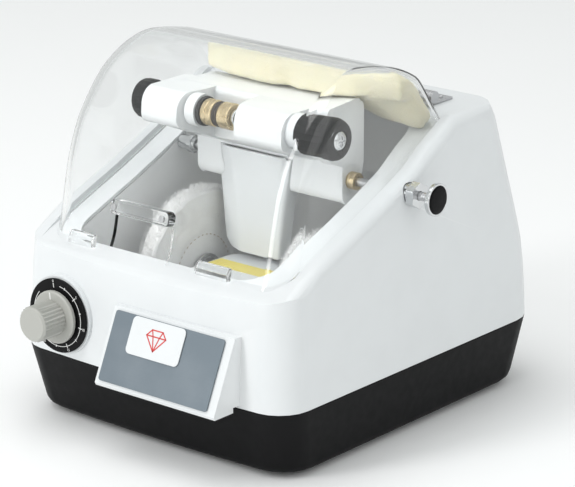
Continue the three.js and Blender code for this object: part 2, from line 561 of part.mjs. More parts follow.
// ---------------------------------------------------------------- chucks
const chuckL = new THREE.Group();
const chuckR = new THREE.Group();
for (const g of [chuckL, chuckR]) {
  g.position.set(0, CLAMP.y, CLAMP.z);
  machine.add(g);
}
add(chuckL, 'left_spindle', 'steel', rodX(4.5, -78, -27.9, 0, 0, 20));
add(chuckL, 'left_ring', 'rubber', turnedX(
  [[0, -27.6], [10, -27.6], [10.4, -27], [10.2, -24.6], [0, -24.6]], 0, 0, 24));
add(chuckL, 'left_chuck', 'brass', turnedX([
  [0, -24.3], [9.2, -24.3], [9.2, -20.6], [8.4, -20], [9.2, -19.4], [9.2, -15.4], [8.6, -14.8], [0, -14.8],
], 0, 0, 24));
add(chuckL, 'left_pad', 'pad', turnedX([[0, -14.5], [8.8, -14.5], [8.8, -12.6], [0, -12.6]], 0, 0, 24));
add(chuckR, 'right_pad', 'pad', turnedX([[0, -12.3], [8.8, -12.3], [8.8, -10.4], [0, -10.4]], 0, 0, 24));
add(chuckR, 'right_chuck', 'brass', turnedX(
  [[0, -10.1], [8.6, -10.1], [9.2, -9.4], [9.2, -0.6], [8.7, 0], [0, 0]], 0, 0, 24));
add(chuckR, 'right_spindle', 'chrome', turnedX([
  [0, 0.3], [6.3, 0.3], [6.3, 3], [4.5, 3.6], [4.5, 14],
  [6.2, 14], [6.2, 16], [4.5, 16], [4.5, 78], [0, 78],
], 0, 0, 28));

// Ribbed knobs.
function ribbedKnob(r, x0, x1, ribs, nose) {
  const s = new THREE.Shape();
  for (let i = 0; i < ribs * 2; i += 1) {
    const a = (i / (ribs * 2)) * 2 * Math.PI;
    const rr = i % 2 ? r - 0.6 : r;
    s[i ? 'lineTo' : 'moveTo'](rr * Math.cos(a), rr * Math.sin(a));
  }
  const turned = turnedX([
    [0, x0], [r - 0.8, x0], [r, x0 + 0.8], [r, x1 - nose],
    [r - nose * 0.3, x1 - nose * 0.3], [r - nose, x1], [0, x1],
  ], 0, 0, 20);
  return common(prismX(s, x0 - 1, x1 + 1), turned);
}
add(chuckR, 'right_knob', 'black', cut(ribbedKnob(14, 60.6, 88, 20, 3.6),
  rodX(4.5 + GAP, 50, 78.5, 0, 0, 24), rodX(7, 86, 90, 0, 0, 28)));
add(chuckR, 'right_knob_screw', 'chrome', cut(
  turnedX([[0, 86.3], [6.5, 86.3], [6.3, 87.6], [4.8, 88.8], [2, 89.4], [0, 89.4]], 0, 0, 28),
  block(88.2, 90, -3.4, 3.4, -0.6, 0.6), block(88.2, 90, -0.6, 0.6, -3.4, 3.4)));
add(chuckL, 'left_knob', 'black', cut(
  ribbedKnob(14, 71.3, 84, 20, 3.6).rotateZ(Math.PI), rodX(4.5 + GAP, -78.5, -70, 0, 0, 24)));

// ---------------------------------------------------------------- hood
// Rings of the hood across its width: the curved sheet pulls in where it rounds into the sides.
function hoodSkin(inset) {
  const curve = new THREE.CatmullRomCurve3(HOOD_CURVE.map(([y, z]) => new THREE.Vector3(0, y, z)), false,
    'centripetal');
  const count = 28;
  const sheet = [];
  for (let i = count; i >= 0; i -= 1) {
    const p = curve.getPointAt(i / count);
    const t = curve.getTangentAt(i / count);
    const rear = THREE.MathUtils.smoothstep(p.y, 0, 24);
    const edge = THREE.MathUtils.lerp(HOOD.edgeR, HOOD.rearEdgeR, rear) - inset;
    sheet.push({ y: p.y, z: p.z, ny: -t.z, nz: t.y, edge });
  }
  sheet.push({ y: -129.5, z: 90, ny: -1, nz: 0, edge: HOOD.edgeR - inset });
  sheet.push({ y: 52, z: 90, ny: 1, nz: 0, edge: HOOD.rearEdgeR - inset });
  const half = HOOD.half - inset;
  const layer = (side, angle) => sheet.map(({ y, z, ny, nz, edge }) => {
    const pull = inset + edge * (1 - Math.cos(angle));
    const x = side * (half - edge + edge * Math.sin(angle));
    return new THREE.Vector3(x, y - ny * pull, z - nz * pull);
  });
  const steps = 4;
  const angles = Array.from({ length: steps + 1 }, (_, i) => (i / steps) * (Math.PI / 2));
  return loft([...angles.toReversed().map((a) => layer(-1, a)), ...angles.map((a) => layer(1, a))]);
}

function belowRim() {
  const rimLine = RIM.slice(0, 18).map(([y, z]) => [y, z + GAP]);
  return prismX(outline([[-170, 60], [160, 60], [160, DECK_Z + GAP], ...rimLine.toReversed(),
    [-170, 94 + GAP]]), -130, 130);
}

function hoodShell() {
  const notch = prismY(roundedRect(NOTCH.x0, 90, NOTCH.x1, NOTCH.top, 2.5), -150, -100, 3);
  return cut(hoodSkin(0), hoodSkin(HOOD.wall), belowRim(), notch);
}
const hood = new THREE.Group();
machine.add(hood);
add(hood, 'hood_shell', 'clear', hoodShell());

// Grip above the notch, a screw at each end; its group stands square to the front sheet.
const frontSheetY = (z) => lerpTable(HOOD_CURVE.slice(0, 8).map(([y, h]) => [h, y]), z);
const grip = new THREE.Group();
grip.position.set((NOTCH.x0 + NOTCH.x1) / 2 + 2, frontSheetY(152), 152);
grip.rotation.x = Math.atan2(frontSheetY(145) - frontSheetY(157), 12);
hood.add(grip);
const gripHalf = (NOTCH.x1 - NOTCH.x0) / 2 + 1;
add(grip, 'handle_bar', 'clear', facePlate(gripHalf * 2, 10, 4, -8.5, -0.8));
for (const [name, side] of [['left', -1], ['right', 1]]) {
  add(grip, `handle_screw_${name}`, 'steel', rodY(2.4, -10.4, -8.8, side * (gripHalf - 5), 0, 16));
}
// Clear stops on the front edge.
for (const [name, x0, x1, z] of [['left', -78, -56, 126.4], ['right', 35, 63, 127.5]]) {
  const y = frontSheetY(z);
  add(hood, `hood_stop_${name}`, 'clear', prismX(outline(
    [[y - 6.5, z - 3.6], [y - 2.4, z - 4.4], [y - 0.6, z + 4.4], [y - 3.6, z + 4.4], [y - 6.5, z + 1.5]]), x0, x1));
}

// Cream pad along the rear corner of the hood.
function hoodPad() {
  const ring = ([x, frontY, z]) => [[frontY, 222], [11, 222], [28, z], [70, z], [70, 260], [frontY, 260]]
    .map(([y, height]) => new THREE.Vector3(x, y, height));
  const wedge = loft([[-62, -9, 210], [0, -9, 209], [48, -4, 208], [76, 0, 199], [99, 3, 194]].map(ring));
  return cut(common(wedge, hoodSkin(HOOD.wall + GAP * 1.5)), belowRim().translate(0, 0, 1));
}
add(hood, 'hood_pad', 'foam', hoodPad());

// Butt hinges: a leaf on the deck with the pin, and a bent leaf on the hood's rear panel.
function deckLeaf(x) {
  const { y, z, r, half, pin } = HINGE;
  const third = half / 3;
  const plate = cut(block(x - half, x + half, y + 1, y + 20, DECK_Z + GAP, DECK_Z + 1.8),
    rodX(r + GAP, x - third - GAP, x + third + GAP, y, z, 20));
  return join(plate,
    rodX(r, x - half, x - third - GAP, y, z, 20), rodX(r, x + third + GAP, x + half, y, z, 20),
    rodX(pin, x - half, x + half, y, z, 12));
}
function hoodLeaf(x) {
  const { y, z, r, half, pin } = HINGE;
  const third = half / 3;
  const [foot, tip, bend] = [[40.3, z + r], [28.9, 232.4], [39.6, z + r - 1.5]];
  const strap = outline([[y, z + r], foot, tip, [tip[0] - 1.2, tip[1] - 0.9], bend, [y, z + r - 1.5]]);
  return cut(join(prismX(strap, x - third, x + third), rodX(r, x - third, x + third, y, z, 20)),
    rodX(pin + GAP, x - half, x + half, y, z, 12));
}
for (const [name, x] of [['left', -HINGE.x], ['right', HINGE.x]]) {
  add(fixed, `hinge_deck_${name}`, 'steel', deckLeaf(x));
  add(hood, `hinge_hood_${name}`, 'steel', hoodLeaf(x));
}

export default machine;
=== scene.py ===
"""Lens-edge polishing machine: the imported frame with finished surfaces, a smooth clear hood,
stitched fluffy wheels, a soft foam pad and printed details. Metres, +Z up, front towards -Y."""
import bmesh
import bpy
import json
import math
import random
from mathutils import Matrix, Vector, noise


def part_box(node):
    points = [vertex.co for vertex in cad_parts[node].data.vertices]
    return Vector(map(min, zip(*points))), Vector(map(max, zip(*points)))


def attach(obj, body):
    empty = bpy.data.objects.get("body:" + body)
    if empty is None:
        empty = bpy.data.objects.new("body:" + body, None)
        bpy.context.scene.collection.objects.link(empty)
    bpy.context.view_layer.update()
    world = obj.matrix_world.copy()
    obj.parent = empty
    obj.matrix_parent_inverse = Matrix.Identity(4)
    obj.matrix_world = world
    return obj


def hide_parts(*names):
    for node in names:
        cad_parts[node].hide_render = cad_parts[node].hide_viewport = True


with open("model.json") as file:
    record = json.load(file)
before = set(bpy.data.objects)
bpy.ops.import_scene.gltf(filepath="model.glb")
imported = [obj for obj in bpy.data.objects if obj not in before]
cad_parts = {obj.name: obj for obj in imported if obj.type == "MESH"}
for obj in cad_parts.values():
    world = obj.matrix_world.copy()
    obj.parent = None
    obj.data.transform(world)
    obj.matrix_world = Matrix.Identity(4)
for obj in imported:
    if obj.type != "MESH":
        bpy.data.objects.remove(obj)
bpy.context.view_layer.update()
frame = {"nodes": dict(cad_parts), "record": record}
NODES = frame["nodes"]
MM = 0.001
WELD = 0.00001  # vertices closer than this become one
AXLE = Vector((0, -25, 80)) * MM  # middle of the wheel spindle


# ---------------------------------------------------------------- materials
class Surface:
    """A Principled material and helpers that add procedural detail in object space."""

    def __init__(self, name, color, rough, metallic=0.0, **sockets):
        self.mat = bpy.data.materials.new(name)
        self.mat.use_nodes = True
        self.tree = self.mat.node_tree
        self.bsdf = self.tree.nodes["Principled BSDF"]
        self.bsdf.inputs["Base Color"].default_value = (*color, 1)
        self.bsdf.inputs["Roughness"].default_value = rough
        self.bsdf.inputs["Metallic"].default_value = metallic
        for socket, value in sockets.items():
            self.bsdf.inputs[socket.replace("_", " ")].default_value = value
        self.color, self.rough = color, rough
        self.place = self.tree.nodes.new("ShaderNodeTexCoord").outputs["Object"]
        self.normal = None

    def node(self, kind, inputs=None, **props):
        made = self.tree.nodes.new(kind)
        for key, value in props.items():
            setattr(made, key, value)
        for key, value in (inputs or {}).items():
            if isinstance(value, bpy.types.NodeSocket):
                self.tree.links.new(value, made.inputs[key])
            else:
                made.inputs[key].default_value = value
        return made

    def scaled(self, scale):
        """Object coordinates stretched along each axis."""
        made = self.node("ShaderNodeMapping", {"Vector": self.place, "Scale": scale})
        return made.outputs["Vector"]

    def noise(self, scale, detail=4.0, stretch=None):
        place = self.scaled(stretch) if stretch else self.place
        made = self.node("ShaderNodeTexNoise", {"Vector": place, "Scale": scale, "Detail": detail})
        return made.outputs["Fac"]

    def span(self, value, low, high, out_low=0.0, out_high=1.0):
        """Maps low..high to out_low..out_high, clamped at both ends."""
        made = self.node("ShaderNodeMapRange", {
            "Value": value, "From Min": low, "From Max": high,
            "To Min": out_low, "To Max": out_high})
        return made.outputs["Result"]

    def tint(self, value, color):
        """Shifts the colour towards another where value is 1."""
        under, over, mixed = 6, 7, 2  # the Mix node's colour sockets
        base = self.bsdf.inputs["Base Color"]
        mix = self.node("ShaderNodeMix", data_type="RGBA")
        self.tree.links.new(value, mix.inputs["Factor"])
        if base.is_linked:
            self.tree.links.new(base.links[0].from_socket, mix.inputs[under])
        else:
            mix.inputs[under].default_value = (*self.color, 1)
        mix.inputs[over].default_value = (*color, 1)
        self.tree.links.new(mix.outputs[mixed], base)
        return self

    def roughen(self, value, spread):
        """Varies the roughness by up to spread either way."""
        low, high = max(self.rough - spread, 0.0), min(self.rough + spread, 1.0)
        result = self.span(value, 0.3, 0.7, low, high)
        self.tree.links.new(result, self.bsdf.inputs["Roughness"])
        return self

    def bump(self, value, depth, strength=1.0):
        """Raises the surface by up to depth metres where value is 1."""
        made = self.node("ShaderNodeBump", {
            "Height": value, "Distance": depth, "Strength": strength})
        if self.normal:
            self.tree.links.new(self.normal, made.inputs["Normal"])
        self.normal = made.outputs["Normal"]
        self.tree.links.new(self.normal, self.bsdf.inputs["Normal"])
        return self

    def edges(self, low, high):
        """1 on worn convex edges."""
        point = self.node("ShaderNodeNewGeometry").outputs["Pointiness"]
        return self.span(point, low, high)


def moulded(name, color, rough, worn, grain_scale, grain_depth, **sockets):
    """Moulded plastic: fine grain, slight mottling and edges that have rubbed a little."""
    made = Surface(name, color, rough, **sockets)
    made.tint(made.span(made.noise(35), 0.42, 0.62, 0.0, 0.5), [c * 0.965 for c in color])
    made.tint(made.edges(0.53, 0.62), worn)
    made.roughen(made.noise(160), 0.05)
    made.bump(made.noise(grain_scale, 2.0), grain_depth, 0.5)
    return made.bump(made.noise(18, 1.0), 0.00025, 0.15)


def machined(name, color, rough, lines, depth, **sockets):
    """Turned or brushed metal: fine lines round the X axis, smudges and scratches."""
    made = Surface(name, color, rough, 1.0, **sockets)
    turned = made.noise(lines, 3.0, (1.0, 0.02, 0.02))
    made.tint(made.span(made.noise(60), 0.45, 0.7, 0.0, 0.6), [c * 0.78 for c in color])
    made.roughen(turned, 0.08)
    return made.bump(turned, depth, 0.6)


def clear_sheet(name, color, rough):
    """Clear acrylic that lets the lamps light what is behind it."""
    made = Surface(name, color, rough, Transmission_Weight=1.0, IOR=1.49)
    made.tint(made.span(made.noise(50, 6.0), 0.55, 0.8, 0.0, 0.35), [c * 0.95 for c in color])
    made.roughen(made.noise(220, 6.0), 0.012)
    made.bump(made.noise(9, 1.0), 0.0006, 0.2)
    ray = made.node("ShaderNodeLightPath").outputs["Is Shadow Ray"]
    through = made.node("ShaderNodeBsdfTransparent", {"Color": (0.95, 0.96, 0.96, 1)})
    mix = made.node("ShaderNodeMixShader", {"Fac": ray})
    made.tree.links.new(made.bsdf.outputs[0], mix.inputs[1])
    made.tree.links.new(through.outputs[0], mix.inputs[2])
    made.tree.links.new(mix.outputs[0], made.tree.nodes["Material Output"].inputs["Surface"])
    return made


def printed(name, color, rough):
    """Printed ink: slightly uneven cover."""
    made = Surface(name, color, rough)
    paler = [min(c * 1.15 + 0.02, 1) for c in color]
    made.tint(made.span(made.noise(900, 3.0), 0.45, 0.75, 0.0, 0.5), paler)
    return made.bump(made.noise(1500, 2.0), 0.00003, 0.5)


def make_materials():
    """Every material by its slot name: colours are linear, depths in metres."""
    made = {}
    made["white"] = moulded(
        "white_abs", (0.755, 0.775, 0.785), 0.34, (0.81, 0.825, 0.83), 2200, 0.00003,
        Coat_Weight=0.15, Coat_Roughness=0.2, Specular_IOR_Level=0.45)
    made["black"] = moulded(
        "black_abs", (0.0045, 0.0045, 0.005), 0.5, (0.014, 0.014, 0.015), 1500, 0.00006,
        Specular_IOR_Level=0.12)
    made["tray"] = moulded(
        "tray_plastic", (0.90, 0.91, 0.91), 0.45, (0.92, 0.93, 0.93), 1600, 0.00005)
    made["grey"] = moulded(
        "grey_knob_plastic", (0.44, 0.44, 0.41), 0.46, (0.55, 0.55, 0.52), 1800, 0.00005)
    made["rubber"] = moulded(
        "black_rubber", (0.02, 0.02, 0.02), 0.75, (0.05, 0.05, 0.05), 1200, 0.00008)
    made["pad"] = moulded(
        "felt_pad", (0.055, 0.045, 0.038), 0.9, (0.10, 0.09, 0.08), 2500, 0.00012)
    made["steel"] = machined("turned_steel", (0.55, 0.55, 0.56), 0.30, 3000, 0.00003)
    made["chrome"] = machined("chrome_plate", (0.72, 0.73, 0.74), 0.12, 1800, 0.000008)
    made["zinc"] = machined("cast_zinc", (0.36, 0.37, 0.38), 0.42, 900, 0.00005)
    brass = machined("turned_brass", (0.74, 0.60, 0.38), 0.27, 2600, 0.00004)
    brass.tint(brass.span(brass.noise(300), 0.5, 0.75, 0.0, 0.7), (0.42, 0.32, 0.18))
    made["brass"] = brass
    made["clear"] = clear_sheet("clear_acrylic", (0.985, 0.99, 0.99), 0.02)
    # Dark colour for the hood sheet's edge bevels: painted shade, a thin dark line that stands for
    # the shadow gap along the sheet's rim
    edge = Surface("acrylic_edge_painted_shade", (0.20, 0.18, 0.16), 0.25)
    edge.tint(edge.span(edge.noise(400), 0.4, 0.7), (0.36, 0.34, 0.31))
    made["clear_edge"] = edge.bump(edge.noise(1500, 2.0), 0.00008)
    plate = Surface("printed_slate", (0.16, 0.195, 0.225), 0.42, Metallic=0.25)
    plate.tint(plate.span(plate.noise(30), 0.4, 0.65, 0.0, 0.7), (0.20, 0.235, 0.265))
    plate.roughen(plate.noise(500, 2.0, (0.03, 1, 1)), 0.07)
    made["plate"] = plate.bump(plate.noise(1400, 2.0, (0.05, 1, 1)), 0.00003, 0.6)
    board = Surface("circuit_board", (0.02, 0.11, 0.05), 0.35)
    bricks = board.node("ShaderNodeTexBrick", {
        "Vector": board.scaled((160, 160, 160)), "Scale": 1.0})
    traces = board.span(bricks.outputs["Fac"], 0.0, 1.0, 0.0, 0.6)
    made["board"] = board.tint(traces, (0.04, 0.2, 0.09))
    cotton = Surface(
        "cotton_cloth", (0.94, 0.94, 0.935), 0.95, Sheen_Weight=0.35, Sheen_Roughness=0.6,
        Subsurface_Weight=0.12, Subsurface_Radius=(0.004, 0.004, 0.004))
    cotton.tint(cotton.span(cotton.noise(90, 6.0), 0.4, 0.7, 0.0, 0.7), (0.85, 0.845, 0.84))
    weave = cotton.node("ShaderNodeTexVoronoi", {"Vector": cotton.place, "Scale": 1400.0})
    cotton.bump(weave.outputs["Distance"], 0.0003, 0.7)
    made["cotton"] = cotton.bump(cotton.noise(420, 6.0), 0.0008, 0.8)
    foam = Surface(
        "cream_foam", (0.77, 0.72, 0.52), 0.92, Sheen_Weight=0.2, Sheen_Roughness=0.7,
        Subsurface_Weight=0.3, Subsurface_Radius=(0.012, 0.010, 0.006))
    foam.tint(foam.span(foam.noise(28, 3.0), 0.4, 0.7), (0.80, 0.76, 0.58))
    pores = foam.node("ShaderNodeTexVoronoi", {"Vector": foam.place, "Scale": 900.0})
    foam.bump(pores.outputs["Distance"], 0.0004, 0.6)
    made["foam"] = foam.bump(foam.noise(120, 4.0), 0.0012, 0.5)
    made["ink_white"] = printed("ink_white", (0.78, 0.78, 0.77), 0.55)
    made["ink_red"] = printed("ink_red", (0.62, 0.055, 0.05), 0.5)
    made["label"] = printed("yellow_label", (0.83, 0.70, 0.16), 0.45)
    thread = Surface("beige_thread", (0.50, 0.41, 0.31), 0.9, Sheen_Weight=0.2)
    made["thread"] = thread.bump(thread.noise(2500, 2.0), 0.0002)
    return made


MATERIALS = make_materials()


def paint(obj, *names):
    """Gives the object these materials in place of what it has."""
    obj.data.materials.clear()
    for name in names:
        obj.data.materials.append(MATERIALS[name].mat)


# ---------------------------------------------------------------- carried-over nodes
USUAL_BEVEL = 0.4  # mm
BEVELS = {  # mm, for the nodes where it isn't the usual one
    "housing_cover": 1.1, "arm_body": 1.4, "arm_leg": 0.8, "base_tub": 0.7, "handle_bar": 1.1,
    "hood_stop_left": 0.7, "hood_stop_right": 0.7, "nameplate": 0.25, "nameplate_badge": 0.25,
    "left_knob": 0.35, "right_knob": 0.35, "left_pad": 0.3, "right_pad": 0.3, "clamp_spring": 0,
    "drive_belt": 0.2, "control_board": 0.15, "handle_screw_left": 0.3,
    "handle_screw_right": 0.3, "hinge_hood_left": 0.2, "hinge_hood_right": 0.2,
    "hinge_deck_left": 0.25, "hinge_deck_right": 0.25,
}


def weigh_normals(obj):
    """Lets the large faces set the shading, and keeps the sharp edges."""
    normals = obj.modifiers.new("normals", "WEIGHTED_NORMAL")
    normals.keep_sharp = True


def soften(obj, width):
    """Joins the facets, rounds the sharp edges and shades the rest smooth."""
    for polygon in obj.data.polygons:
        polygon.use_smooth = True
    weld = obj.modifiers.new("weld", "WELD")
    weld.merge_threshold = WELD
    flat = obj.modifiers.new("flat", "DECIMATE")
    flat.decimate_type = "DISSOLVE"
    flat.angle_limit = math.radians(0.6)
    if width:
        bevel = obj.modifiers.new("bevel", "BEVEL")
        bevel.width = width * MM
        bevel.segments = 3
        bevel.limit_method = "ANGLE"
        bevel.angle_limit = math.radians(32)
    else:
        split = obj.modifiers.new("split", "EDGE_SPLIT")
        split.split_angle = math.radians(40)
    weigh_normals(obj)


SLOTS = {part["node"]: part["material_slot"] for part in frame["record"]["subparts"]}
for node_name, node in NODES.items():
    paint(node, SLOTS[node_name])
    soften(node, BEVELS.get(node_name, USUAL_BEVEL))


# ---------------------------------------------------------------- building pieces
def piece(name, mesh, body, slot, *materials, smooth=True):
    """A new object for a bmesh, painted, riding on its body."""
    data = bpy.data.meshes.new(name)
    mesh.to_mesh(data)
    mesh.free()
    obj = bpy.data.objects.new(name, data)
    bpy.context.scene.collection.objects.link(obj)
    for polygon in data.polygons:
        polygon.use_smooth = smooth
    paint(obj, *materials)
    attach(obj, body)
    return obj


def grid_faces(mesh, rows, closed=False):
    """Faces between rows of vertices, round the row as well where it is closed."""
    for low, high in zip(rows, rows[1:]):
        count = len(low)
        for i in range(count if closed else count - 1):
            j = (i + 1) % count
            mesh.faces.new((low[i], low[j], high[j], high[i]))


def evaluated(obj):
    """Replaces the object's mesh with what its modifiers make of it."""
    graph = bpy.context.evaluated_depsgraph_get()
    data = bpy.data.meshes.new_from_object(obj.evaluated_get(graph))
    obj.modifiers.clear()
    obj.data = data


def lerp_table(table, value):
    """The table's second column at value in its first, in straight steps."""
    for (a, x), (b, y) in zip(table, table[1:]):
        if value <= b:
            return x + (y - x) * max(0.0, (value - a) / (b - a))
    return table[-1][1]


# ---------------------------------------------------------------- hood
# (y, z) in mm: the housing's rim that the hood's sides follow, and the outline of its clear sheet
RIM = [(-152, 94), (-142, 106), (-140, 111.5), (-137.3, 115.7), (-133.6, 118.8), (-129, 120.6),
       (-115, 127), (-100, 133), (-80, 141), (-54, 151), (-28, 162), (-2, 174), (17, 187),
       (45, 203), (52, 205.8), (60, 207)]
HOOD_CURVE = [(-129.5, 108), (-127, 120), (-121, 134), (-116, 158), (-111, 178), (-103, 198),
              (-94, 212.5), (-79, 230), (-64, 240.8), (-48, 247.8), (-33, 250.6), (-16, 249),
              (2, 245.4), (11, 243), (18.5, 239), (24, 234.6), (32, 224.6), (48, 203), (53, 196.3)]
HOOD_HALF, HOOD_WALL = 103, 3  # half its width, and the sheet's thickness
FRONT_ROUND, REAR_ROUND, ROUND_CHANGE = 16, 6, 24  # corner radii, blended from y 0 to 24
RIM_GAP = 0.4
HOOD_STEPS, SIDE_STEPS = 110, 6
NOTCH_LEFT, NOTCH_RIGHT, NOTCH_TOP, NOTCH_CORNER = -45, 6, 147, 2.5
SHEET_COLUMNS = [-70, -58, NOTCH_LEFT, -32, -19.5, -7, NOTCH_RIGHT, 20, 35, 50, 64, 76]


def curve_point(t):
    """Point and unit tangent (y, z) on the hood's outline at t from 0 to 1, as a smooth spline."""
    def at(u):
        count = len(HOOD_CURVE) - 1
        u = min(max(u, 0.0), 1.0) * count
        i = min(int(u), count - 1)
        f = u - i
        p = [Vector(HOOD_CURVE[min(max(i + k, 0), count)]) for k in (-1, 0, 1, 2)]
        return 0.5 * (2 * p[1] + (p[2] - p[0]) * f + (2 * p[0] - 5 * p[1] + 4 * p[2] - p[3]) * f * f
                      + (3 * p[1] - p[0] - 3 * p[2] + p[3]) * f ** 3)
    return at(t), (at(t + 0.004) - at(t - 0.004)).normalized()


def hood_column(angle, t):
    """Point of the hood's skin: angle 0 on the flat sheet, 90 degrees where it meets the side."""
    place, tangent = curve_point(t)
    rear = min(max(place.x / ROUND_CHANGE, 0.0), 1.0)
    radius = FRONT_ROUND + (REAR_ROUND - FRONT_ROUND) * rear * rear * (3 - 2 * rear)
    pull = radius * (1 - math.cos(angle))
    normal = Vector((-tangent.y, tangent.x))
    x = HOOD_HALF - radius + radius * math.sin(angle)
    return Vector((x, place.x - normal.x * pull, place.y - normal.y * pull))


def crossing(angle, start, end):
    """The t between start and end where a column passes the rim."""
    def above(t):
        p = hood_column(angle, t)
        return p.z - lerp_table(RIM, p.y) - RIM_GAP
    low, high = start, end
    for _ in range(24):
        middle = (low + high) / 2
        low, high = (middle, high) if (above(low) > 0) == (above(middle) > 0) else (low, middle)
    return low


def hood_rows():
    """Rows of points from the front edge to the rear edge, each from left rim to right rim,
    then the row at the notch's top and its columns at the left and right."""
    angles = [math.radians(a) for a in range(0, 91, 10)]
    spans = [(crossing(a, 0.0, 0.3), crossing(a, 0.6, 1.0)) for a in angles]
    steps = [i / HOOD_STEPS for i in range(HOOD_STEPS + 1)]
    first, last = spans[0]

    def from_notch_top(i):
        return abs(curve_point(first + steps[i] * (last - first))[0].y - NOTCH_TOP)
    notch = min(range(1, HOOD_STEPS // 2), key=from_notch_top)
    rows = []
    for step in steps:
        half = [hood_column(a, t0 + (t1 - t0) * step) for a, (t0, t1) in zip(angles, spans)]
        brow = half[-1]
        foot_z = min(brow.z, lerp_table(RIM, brow.y) + RIM_GAP)
        foot = Vector((HOOD_HALF, brow.y, foot_z))
        side = [foot.lerp(brow, i / SIDE_STEPS) for i in range(SIDE_STEPS)]
        right = [*half, *reversed(side)]
        left = [Vector((-p.x, p.y, p.z)) for p in reversed(right)]
        middle = [Vector((x, half[0].y, half[0].z)) for x in SHEET_COLUMNS]
        rows.append([*left, *middle, *right])
    notch_columns = [len(left) + SHEET_COLUMNS.index(x) for x in (NOTCH_LEFT, NOTCH_RIGHT)]
    return rows, notch, *notch_columns


def build_hood():
    """The hood as one smooth bent sheet with its notch, in place of the faceted shell."""
    rows, notch, first, last = hood_rows()
    mesh = bmesh.new()
    grid = [[mesh.verts.new(p * MM) for p in row] for row in rows]
    grid_faces(mesh, grid)
    mesh.faces.ensure_lookup_table()
    width = len(grid[0]) - 1
    gone = [mesh.faces[r * width + c] for r in range(notch) for c in range(first, last)]
    bmesh.ops.delete(mesh, geom=gone, context="FACES")
    corners = [grid[notch][first], grid[notch][last]]
    bmesh.ops.bevel(mesh, geom=corners, offset=NOTCH_CORNER * MM, segments=3,
                    affect="VERTICES", profile=0.5)
    bmesh.ops.remove_doubles(mesh, verts=mesh.verts, dist=WELD)
    bmesh.ops.recalc_face_normals(mesh, faces=mesh.faces)
    crown = max(mesh.faces, key=lambda f: f.calc_center_median().z)
    if crown.normal.z < 0:
        bmesh.ops.reverse_faces(mesh, faces=mesh.faces)
    obj = piece("hood_clear_shell", mesh, "hood", "clear", "clear", "clear_edge")
    wall = obj.modifiers.new("wall", "SOLIDIFY")
    wall.thickness = HOOD_WALL * MM
    wall.offset = -1
    wall.use_even_offset = True
    # The bevels round the sheet's edges take the dark clear_edge colour: a painted shade line along
    # the rim
    edge = obj.modifiers.new("edge", "BEVEL")
    edge.width = 0.45 * MM
    edge.segments = 2
    edge.limit_method = "ANGLE"
    edge.angle_limit = math.radians(50)
    edge.material = 1  # clear_edge, the painted dark shade line along the sheet's edges
    weigh_normals(obj)
    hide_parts("hood_shell")


build_hood()


# ---------------------------------------------------------------- wheels
WHEELS = [("left", -1, 60.5), ("right", 1, 50)]  # name, side, radius
WHEEL_INNER, WHEEL_OUTER, BORE = 47.5, 61, 5.3
WHEEL_HALF = (WHEEL_OUTER - WHEEL_INNER) / 2
WHEEL_SIDES = 150
BRIM = 4  # depth of the rounded rim
STITCH_RINGS = (0.46, 0.68)  # as shares of the radius
STITCH_PITCH, STITCH_SHARE, THREAD = 4.2, 0.62, 0.33
FIBRES, RIM_SHARE, FIBRE_HALF = 14000, 0.62, 0.11


def wheel_section(radius):
    """Half section of a wheel: (distance from the middle ply, radius), round from bore to bore."""
    steps = 24
    face = []
    for i in range(steps + 1):
        r = BORE + (radius - BRIM - BORE) * i / steps
        dip = sum(0.9 * math.exp(-((r - radius * ring) / 1.8) ** 2) for ring in STITCH_RINGS)
        puff = 0.5 * math.sin(math.pi * min(1.0, r / radius * 2.2 % 1.0))
        face.append((WHEEL_HALF - 0.9 - dip + puff, r))
    brim = []
    for i in range(1, steps):
        a = math.pi * i / steps
        ply = 0.35 * math.cos(a * 10)
        reach = (3.4 + ply) * math.sin(a) ** 0.6
        brim.append((WHEEL_HALF * 0.98 * math.cos(a), radius - BRIM + reach))
    return [*face, *brim, *[(-d, r) for d, r in reversed(face)]]


def build_wheel(side_name, side, radius):
    """A cloth wheel that swells unevenly, most towards its rim, with its fluff and stitches."""
    middle = side * (WHEEL_OUTER + WHEEL_INNER) / 2
    mesh = bmesh.new()
    rings = []
    for d, r in wheel_section(radius):
        ring = []
        for i in range(WHEEL_SIDES):
            a = 2 * math.pi * i / WHEEL_SIDES
            seed = Vector((d * 0.12, r * math.cos(a) * 0.12, r * math.sin(a) * 0.12 + 9 * side))
            out = noise.noise(seed) * (0.5 + 1.2 * max(0.0, (r - radius * 0.8) / radius) * 5)
            fine = noise.noise(seed * 5) * 0.35
            grow = (out + fine) if r > radius - 5 else 0.3 * out
            swell = math.copysign(0.5 * out + fine, d) if r < radius - 3 else 0.0
            rr = r + (grow if r > BORE + 1 else 0.0)
            place = Vector((middle + d + swell, rr * math.cos(a), rr * math.sin(a)))
            ring.append(mesh.verts.new(place * MM + AXLE))
        rings.append(ring)
    rings.append(rings[0])
    grid_faces(mesh, rings, closed=True)
    bmesh.ops.recalc_face_normals(mesh, faces=mesh.faces)
    obj = piece(f"wheel_{side_name}_cloth", mesh, "arbor", "cotton", "cotton")
    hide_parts(f"wheel_{side_name}")
    build_fluff(side_name, middle, radius)
    build_stitches(side_name, middle, radius)


